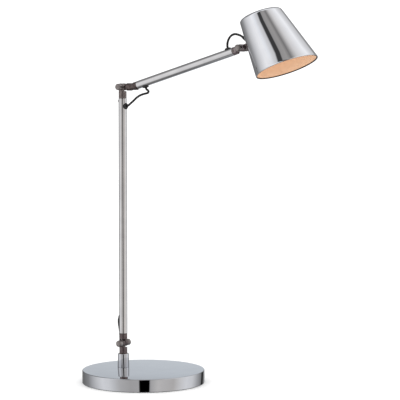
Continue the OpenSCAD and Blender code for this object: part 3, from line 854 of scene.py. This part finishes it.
def leaning_rings(levels: Sequence[tuple[float, float, float]], segments: int) -> BMesh:
    """A closed body of level rings whose centres may shift along X, as on a cone with a leaning axis.

    Args:
        levels: shift, radius and height of each ring, in order along the skin.
        segments: how many vertices a ring has.

    Returns:
        The body, with both end rings closed.
    """
    shape = bmesh.new()
    shift, radius, height = levels[0]
    bmesh.ops.create_circle(
        shape, segments=segments, radius=radius, cap_ends=True, matrix=Matrix.Translation((shift, 0, height))
    )
    rim = shape.edges[:]
    for shift_before, (shift, radius, height) in zip([level[0] for level in levels], levels[1:]):
        out = bmesh.ops.extrude_edge_only(shape, edges=rim)["geom"]
        rim = [e for e in out if isinstance(e, BMEdge)]
        for vert in [v for v in out if isinstance(v, BMVert)]:
            way = Vector((vert.co.x - shift_before, vert.co.y, 0)).normalized()
            vert.co = Vector((shift, 0, height)) + way * radius
    bmesh.ops.contextual_create(shape, geom=rim)
    bmesh.ops.recalc_face_normals(shape, faces=shape.faces)
    return shape


def close_ring(shape: BMesh) -> None:
    """Turn a body of rings into a ring: take out its two end faces and join their edges to each other."""
    quad = 4
    ends = [face for face in shape.faces if len(face.verts) > quad]
    bmesh.ops.delete(shape, geom=ends, context="FACES_ONLY")
    bmesh.ops.bridge_loops(shape, edges=[edge for edge in shape.edges if edge.is_boundary])
    bmesh.ops.recalc_face_normals(shape, faces=shape.faces)


# ---------------------------------------------------------------- cables


@dataclass
class CableJump:
    """One short run of cable that jumps across a hinge, from the piece it leaves to the piece it enters."""

    node: str
    bodies: tuple[Body, Body]
    points: list[Vector]
    diameter: float = 0.0034

    def build(self) -> None:
        path = smooth_path(self.points)
        cable = loose_piece(self.node + "_run", tube_along(path, self.diameter / 2), JACKET)
        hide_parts(self.node)
        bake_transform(cable)


def cable_jumps() -> list[CableJump]:
    """The three places where the cable shows."""
    post_foot = Vector((JOINT["lower_tilt"].x, 0, 0))
    lower = [
        post_foot + BEHIND @ (Vector((x, 0, z)) * MM)
        for x, z in [
            (7.6, 51.2), (8.15, 52.2), (8.6, 55.4), (8.7, 59), (8.7, 63.6), (8.8, 68.4), (9.2, 73),
            (10.1, 77.4), (11.3, 81.6), (12.4, 85.8), (13, 89.6), (12.9, 92.8), (11.9, 95.6), (10, 97.4),
            (8, 98),
        ]
    ]
    elbow = [
        JOINT["elbow"] + Vector((x, 0, z)) * MM
        for x, z in [
            (8, -29.8), (10, -29), (12.6, -27.5), (15.2, -25.6), (17.8, -23.7), (20.4, -21.8), (23.4, -19.4),
            (26.4, -17.1), (30.4, -14.6), (34.7, -12.6), (39.4, -11.2), (43.6, -10.3), (46, -9.8), (48, -9.2),
            (49.5, -8.1), (49.7, -6.4), (48.5, -5.1), (46.8, -4.2), (45.6, -3.15), (44.94, -1.45),
        ]
    ]
    head = [
        JOINT["head_tilt"] + Vector((x, 0, z)) * MM
        for x, z in [
            (-25.15, 0.41), (-25.5, 2), (-25.75, 4.5), (-25.4, 8), (-24.2, 11.7), (-22, 15.4), (-18.8, 18.4),
            (-15.2, 20.1), (-11.6, 20.5), (-8, 20), (-4.5, 19), (-1.4, 17.7), (1.37, 16.03),
        ]
    ]
    return [
        CableJump("lower_cable", (Body.SWIVEL, Body.POST), lower),
        CableJump("elbow_cable", (Body.POST, Body.ARM), elbow),
        CableJump("head_cable", (Body.ARM, Body.HEAD), head),
    ]


# ---------------------------------------------------------------- base and post


@dataclass
class BaseShell:
    """The spun cover of the base: a flat top, a straight side and a small rounded edge between them."""

    radius: float = 0.095
    top: float = 0.020
    foot: float = 0.0008
    skin: float = 0.0012
    edge: float = 0.0013

    def build(self) -> None:
        """Turn the cover."""
        inner = self.radius - self.skin
        under = self.top - self.skin
        lip = self.skin / 3
        cover = turned(
            outline(
                [(0, under), (0, self.top)],
                arc((self.radius - self.edge, self.top - self.edge), self.edge, 90, 0, steps=8),
                arc((self.radius - lip, self.foot + lip), lip, 0, -90, steps=3),
                [(inner, self.foot), (inner, under)],
            ),
            segments=256,
            closed=False,
        )
        piece = new_piece("base_shell", cover, Body.BASE, CHROME)
        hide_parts("base_cover")


@dataclass
class Socket:
    """The chromed socket on the base, with a rounded mouth and a foot a touch wider than its top."""

    foot_radius: float = 0.0090
    radius: float = 0.0086
    bore: float = 0.00695
    bottom: float = 0.020
    height: float = 0.0216
    round: float = 0.0009
    bore_edge: float = 0.0003
    foot_edge: float = 0.0004
    straight: float = 0.006
    floor: float = 0.003
    floor_hole: float = 0.005

    def build(self) -> None:
        """Turn the socket."""
        top = self.bottom + self.height
        floor, low = self.bottom + self.floor, self.bottom + self.foot_edge
        sleeve = turned(
            outline(
                [(self.bore, floor), (self.bore, top - self.bore_edge), (self.bore + self.bore_edge, top)],
                arc((self.radius - self.round, top - self.round), self.round, 90, 0),
                [(self.radius, top - self.straight), (self.foot_radius, low)],
                arc((self.foot_radius - self.foot_edge, low), self.foot_edge, -30, -90, steps=2),
                [(self.floor_hole, self.bottom), (self.floor_hole, floor)],
            ),
            segments=96,
        )
        place = Matrix.Translation((JOINT["base_swivel"].x, 0, 0))
        piece = new_piece("socket", placed(sleeve, place), Body.BASE, SOCKET_CHROME)
        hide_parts("socket_sleeve")


@dataclass
class LampTube:
    """A plated tube with square, lightly broken ends."""

    node: str
    body: Body
    foot: Vector
    way: Vector
    start: float
    end: float
    finish: Finish
    radius: float = 0.00635
    wall: float = 0.0012
    broken: float = 0.00025

    def build(self) -> None:
        """Turn the tube and lay it along its way."""
        inner = self.radius - self.wall
        length = self.end - self.start
        tube = turned(
            outline(
                [(inner, 0), (self.radius - self.broken, 0), (self.radius, self.broken)],
                [(self.radius, length - self.broken), (self.radius - self.broken, length), (inner, length)],
            ),
            segments=96,
        )
        place = frame_of(self.foot + self.way * self.start, self.way, ALONG_HINGE.cross(self.way))
        piece = new_piece(self.node + "_skin", placed(tube, place), self.body, self.finish)
        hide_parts(self.node)


# ---------------------------------------------------------------- hinges and cable passages


@dataclass
class EndCap:
    """Domed cap on one end of a hinge screw."""

    node: str
    body: Body
    hinge: str
    side: int
    mouth: float
    radius: float = 0.0050
    length: float = 0.0076
    round: float = 0.0013
    dome: float = 0.00035
    bore: float = 0.00255
    roof: float = 0.0022
    mouth_edge: float = 0.0005

    def build(self) -> None:
        """Turn the cap and set it on its side of the hinge."""
        shoulder = self.length - self.dome - self.round
        ceiling = self.length - self.roof
        cap = turned(
            outline(
                [(0, ceiling), (self.bore, ceiling), (self.bore, 0)],
                [(self.radius - self.mouth_edge, 0), (self.radius, self.mouth_edge)],
                arc((self.radius - self.round, shoulder), self.round, 0, 80),
                [(self.radius * 0.4, self.length - self.dome * 0.15), (0, self.length)],
            ),
            segments=64,
            closed=False,
        )
        way = ALONG_HINGE * self.side
        place = frame_of(JOINT[self.hinge] + way * self.mouth, way, UP)
        piece = new_piece(self.node + "_dome", placed(cap, place), self.body, LIT_CAP_PLATE)
        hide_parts(self.node)


@dataclass
class Grommet:
    """Rubber grommet on a tube: a soft dome that hugs the tube around the cable's hole."""

    node: str
    body: Body
    centre: Vector
    tube_way: Vector
    out: Vector
    tube_radius: float = 0.00635
    radius: float = 0.005
    lip: float = 0.0015
    hole: float = 0.00175
    neck: float = 0.00262
    neck_foot: float = 0.0051
    foot: float = 0.0046
    tube_wall: float = 0.0012
    hole_edge: float = 0.0004
    fold: float = 0.0016
    clearance: float = 0.00004

    def build(self) -> None:
        """Turn the dome, wrap its foot onto the tube and give it a neck through the wall."""
        crown = self.tube_radius + self.lip
        edge, fold = self.hole_edge, self.fold
        dome = turned(
            outline(
                [(self.hole, self.tube_radius - self.tube_wall), (self.hole, crown - 0.0003)],
                arc((self.hole + edge, crown - edge), edge, 180, 90, steps=3),
                arc((self.radius - fold, crown - fold), fold, 80, 0, steps=6),
                [(self.radius, self.foot), (self.radius * 0.8, self.foot)],
                [(self.neck, self.neck_foot), (self.neck, self.foot)],
            ),
            segments=48,
        )
        # Each point at the foot is drawn in to the tube's round skin, so the lip follows the tube.
        skin = self.tube_radius + self.clearance
        a_little = 0.0001
        for vert in dome.verts:
            if vert.co.z < self.foot + a_little and vert.co.xy.length > self.neck + a_little:
                vert.co.z = math.sqrt(max(skin**2 - min(abs(vert.co.y), skin) ** 2, 0))
        place = frame_of(self.centre, self.out, self.tube_way)
        piece = new_piece(self.node + "_dome", placed(dome, place), self.body, RUBBER)
        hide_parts(self.node)


@dataclass
class StrainRelief:
    """Angled rubber relief on the shade: a flange, an elbow and a ribbed boot around the arriving cable."""

    wall: float = 0.0150
    up: float = 0.0078
    fall: float = math.radians(30)
    flange_radius: float = 0.0031
    flange_edge: float = 0.0008
    sunk: float = 0.0006
    boot_length: float = 0.008
    ribs: int = 4
    first_rib: float = 0.0014
    first_rib_radius: float = 0.0031
    rib_taper: float = 0.00022
    cable_radius: float = 0.00175
    elbow_radius: float = 0.0028

    def build(self) -> None:
        """Turn the flange and the ribbed boot, and join them at a round elbow."""
        elbow = JOINT["head_tilt"] + SHADE_OUT * (self.wall - 0.0026) + SHADE_UP * self.up
        edge = self.flange_edge
        flange = turned(
            outline(
                [(0, 0.0039), (0.0024, 0.0039), (0.0024, 0.0023), (self.flange_radius, 0.0023)],
                arc((self.flange_radius - edge, edge), edge, 0, -60, steps=4),
                [(0.0022, -self.sunk), (0, -self.sunk)],
            ),
            segments=48,
            closed=False,
        )
        step = (self.boot_length - 0.0018) / self.ribs
        first, taper = self.first_rib_radius, self.rib_taper
        crests = [(first - taper * i, self.first_rib + step * i) for i in range(self.ribs)]
        ribs = outline(
            *[
                [(r - 0.0004, z), (r, z + step * 0.12), (r, z + step * 0.5), (r - 0.0004, z + step * 0.62),
                 (r - 0.0005, z + step * 0.98)]
                for r, z in crests
            ]
        )
        boot = turned(
            outline(
                [(0, -self.sunk), (0.0026, -0.0004)], ribs, [(0.0021, self.boot_length)],
                [(self.cable_radius, self.boot_length), (self.cable_radius, 0.003), (0, 0.003)],
            ),
            segments=48,
            closed=False,
        )
        elbow_ball = bmesh.new()
        bmesh.ops.create_uvsphere(elbow_ball, u_segments=32, v_segments=20, radius=self.elbow_radius)
        boot_way = Vector((-math.cos(self.fall), 0, math.sin(self.fall)))
        whole = joined(
            placed(flange, frame_of(elbow, SHADE_OUT, ALONG_HINGE)),
            placed(boot, frame_of(elbow, boot_way, ALONG_HINGE)),
            placed(elbow_ball, Matrix.Translation(elbow)),
        )
        piece = new_piece("strain_relief_boot", whole, Body.HEAD, RUBBER)
        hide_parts("head_strain_relief")


# ---------------------------------------------------------------- head


@dataclass
class Cone:
    """The shade's leaning cone, measured from the centre of its rim."""

    rim_radius: float = 0.0475
    top_radius: float = 0.0318
    height: float = 0.0888
    top_shift: float = 0.015

    def shift(self, height: float) -> float:
        """How far the cone's centre has moved along X at a height above the rim."""
        return -self.top_shift * height / self.height

    def radius(self, height: float) -> float:
        """The cone's outer radius at a height above the rim."""
        return self.rim_radius - (self.rim_radius - self.top_radius) * height / self.height

    def ring(self, height: float, inset: float) -> tuple[float, float, float]:
        """Shift, radius and height of a ring that stands inside the outer skin by inset."""
        return (self.shift(height), self.radius(height) - inset, height)


@dataclass
class Shade:
    """The chromed shade, the ivory enamelled reflector inside it and a dark ring of painted shade in its mouth."""

    cone: Cone = field(default_factory=Cone)
    skin: float = 0.001
    shoulder: float = 0.004
    bead: float = 0.0006
    above_bead: float = 0.002
    pole: float = 0.002
    liner_gap: float = 0.0013
    liner_wall: float = 0.0008
    liner_foot: float = 0.0015
    shade_ring_wall: float = 0.0011
    liner_top: float = 0.0603
    hinge_to_wall: float = 0.0150
    hinge_height: float = 0.0557

    def place(self) -> Matrix:
        """The matrix from the rim's frame to the row's frame."""
        wall = self.cone.radius(self.hinge_height) - self.cone.shift(self.hinge_height)
        centre = JOINT["head_tilt"] + SHADE_OUT * (self.hinge_to_wall + wall) - SHADE_UP * self.hinge_height
        return frame_of(centre, SHADE_UP, SHADE_OUT)

    def build(self) -> None:
        """Draw the shell, the reflector and the ring of painted shade."""
        shell = leaning_rings(self.shell_rings(), segments=192)
        piece = new_piece("shade_shell", placed(shell, self.place()), Body.HEAD, LIT_SHADE_CHROME)
        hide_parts("shade")
        self.reflector()
        self.painted_shade_ring()

    def painted_shade_ring(self) -> None:
        """Draw a dark ring inside the rim at the reflector's foot: painted shade for the dark line that shade and
        dark reflections leave there.
        """
        cone, inset = self.cone, self.skin + 0.00005
        ring = leaning_rings(
            [cone.ring(self.liner_foot - 0.0001, inset), cone.ring(0.0002, inset),
             cone.ring(0.0001, inset + self.shade_ring_wall / 2), cone.ring(0.0003, inset + self.shade_ring_wall),
             cone.ring(self.liner_foot - 0.0001, inset + self.shade_ring_wall)],
            segments=160,
        )
        close_ring(ring)
        new_piece("rim_painted_shade_ring", placed(ring, self.place()), Body.HEAD, RIM_PAINTED_SHADE)

    def shell_rings(self) -> list[tuple[float, float, float]]:
        """Rings from the middle of the top, over the shoulder, down to the rim bead and back up inside."""
        cone = self.cone
        top = cone.height
        corner = [
            cone.ring(top - self.shoulder + rise, self.shoulder - run)
            for run, rise in arc((0, 0), self.shoulder, 90, 0, steps=10)
        ]
        foot, steps = top - self.shoulder, 6
        drop = (foot - self.above_bead) / steps
        wall = [cone.ring(foot - i * drop, 0) for i in range(1, steps + 1)]
        bead = [
            cone.ring(self.bead + rise, self.bead - run)
            for run, rise in arc((0, 0), self.bead, 35, -215, steps=10)
        ]
        inner_top = top - self.skin
        inside = [
            cone.ring(self.above_bead, self.skin), cone.ring(inner_top - self.shoulder, self.skin),
            cone.ring(inner_top - 0.001, self.skin + 0.002), cone.ring(inner_top, self.skin + self.shoulder),
        ]
        first = (cone.shift(top), self.pole, top)
        last = (cone.shift(inner_top), self.pole, inner_top)
        return [first, *corner, *wall, *bead, *inside, last]

    def reflector(self) -> None:
        """Draw the reflector's sleeve, open at both ends."""
        cone = self.cone
        out, inn = self.liner_gap, self.liner_gap + self.liner_wall
        low, high = self.liner_foot, self.liner_top
        sleeve = leaning_rings(
            [cone.ring(high, out), cone.ring(low + 0.0003, out), cone.ring(low, out + 0.0003),
             cone.ring(low, inn - 0.0002), cone.ring(low + 0.0003, inn), cone.ring(high, inn)],
            segments=160,
        )
        close_ring(sleeve)
        piece = new_piece("reflector_sleeve", placed(sleeve, self.place()), Body.HEAD, ENAMEL)
        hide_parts("shade_liner")


@dataclass
class Capsule:
    """The frosted capsule of the lit lamp, hanging under its holder."""

    radius: float = 0.007
    length: float = 0.020
    foot: float = 0.0233
    shift: float = -0.0085

    def build(self, rim_place: Matrix) -> None:
        """Turn the capsule and hang it in the shade.

        Args:
            rim_place: the matrix from the rim's frame to the row's frame.
        """
        glass = turned(
            outline(
                arc((0, self.radius), self.radius, -90, 0, steps=14), [(self.radius, self.length)],
                [(self.radius - 0.001, self.length)],
                arc((0, self.radius), self.radius - 0.001, 0, -90, steps=10),
            ),
            segments=48,
            closed=False,
        )
        place = rim_place @ Matrix.Translation((self.shift, 0, self.foot))
        piece = new_piece("lit_capsule", placed(glass, place), Body.HEAD, LIT_GLASS)
        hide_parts("bulb_glass")


@dataclass
class DeskLamp:
    """The whole lamp, as its sub-assemblies."""

    base: BaseShell = field(default_factory=BaseShell)
    socket: Socket = field(default_factory=Socket)
    shade: Shade = field(default_factory=Shade)
    capsule: Capsule = field(default_factory=Capsule)
    low_hole: float = 0.0401
    high_hole: float = 0.3702
    arm_low_hole: float = 0.027
    arm_high_hole: float = 0.1879

    def build(self) -> None:
        """Build every sub-assembly."""
        for jump in cable_jumps():
            jump.build()
        self.base.build()
        self.socket.build()
        self.shade.build()
        self.capsule.build(self.shade.place())
        for part in [*self.tubes(), *self.caps(), *self.grommets(), StrainRelief()]:
            part.build()

    @staticmethod
    def tubes() -> list[LampTube]:
        """The post and the arm."""
        return [
            LampTube("post_tube", Body.POST, JOINT["lower_tilt"], UP, 0.0155, 0.3822, POST_PLATE),
            LampTube("arm_tube", Body.ARM, ARM_FOOT, ARM_WAY, 0.014, 0.197, ARM_PLATE),
        ]

    @staticmethod
    def caps() -> list[EndCap]:
        """Two end caps to a hinge."""
        near, far = 0.0061, 0.0069
        hinges = [
            ("lower", "lower_tilt", Body.SWIVEL),
            ("elbow", "elbow", Body.POST),
            ("head", "head_tilt", Body.ARM),
        ]
        return [
            EndCap(f"{name}_{word}_cap", body, hinge, side, mouth)
            for name, hinge, body in hinges
            for word, side, mouth in [("near", -1, near), ("far", 1, far)]
        ]

    def grommets(self) -> list[Grommet]:
        """Two grommets to a tube."""
        front = Vector((1, 0, 0))
        foot = JOINT["lower_tilt"]
        arm_low, arm_high = (ARM_FOOT + ARM_WAY * hole for hole in (self.arm_low_hole, self.arm_high_hole))
        return [
            Grommet("post_lower_grommet", Body.POST, foot + UP * self.low_hole, UP, BEHIND @ front),
            Grommet("post_upper_grommet", Body.POST, foot + UP * self.high_hole, UP, front),
            Grommet("arm_lower_grommet", Body.ARM, arm_low, ARM_WAY, ARM_UNDER),
            Grommet("arm_upper_grommet", Body.ARM, arm_high, ARM_WAY, -ARM_UNDER),
        ]


# The fittings that wear the lit and shaded copies of the plate, whose tones carry painted light and shade.
OWN_FINISHES: dict[str, Finish] = {
    "swivel_fitting": SHADED_FOOT_PLATE,
    "post_lower_fitting": SHADED_FOOT_PLATE,
    "arm_lower_fitting": SHADED_CRANK_PLATE,
    "arm_upper_fitting": LIT_COLLAR_PLATE,
}


def dress_cad_nodes() -> None:
    """Give every CAD node its own finish, or else that of its slot."""
    slots = {part["node"]: Slot(part["material_slot"]) for part in frame["record"]["subparts"]}
    for name, node in frame["nodes"].items():
        finish = OWN_FINISHES.get(name, SLOT_FINISHES[slots[name]])
        node.data.materials.clear()
        node.data.materials.append(finish.material())


def main() -> None:
    """Build the lamp's looks and report each piece."""
    logging.basicConfig(level=logging.INFO, format="%(message)s")
    Studio().build()
    dress_cad_nodes()
    DeskLamp().build()


if __name__ == "__main__":
    main()
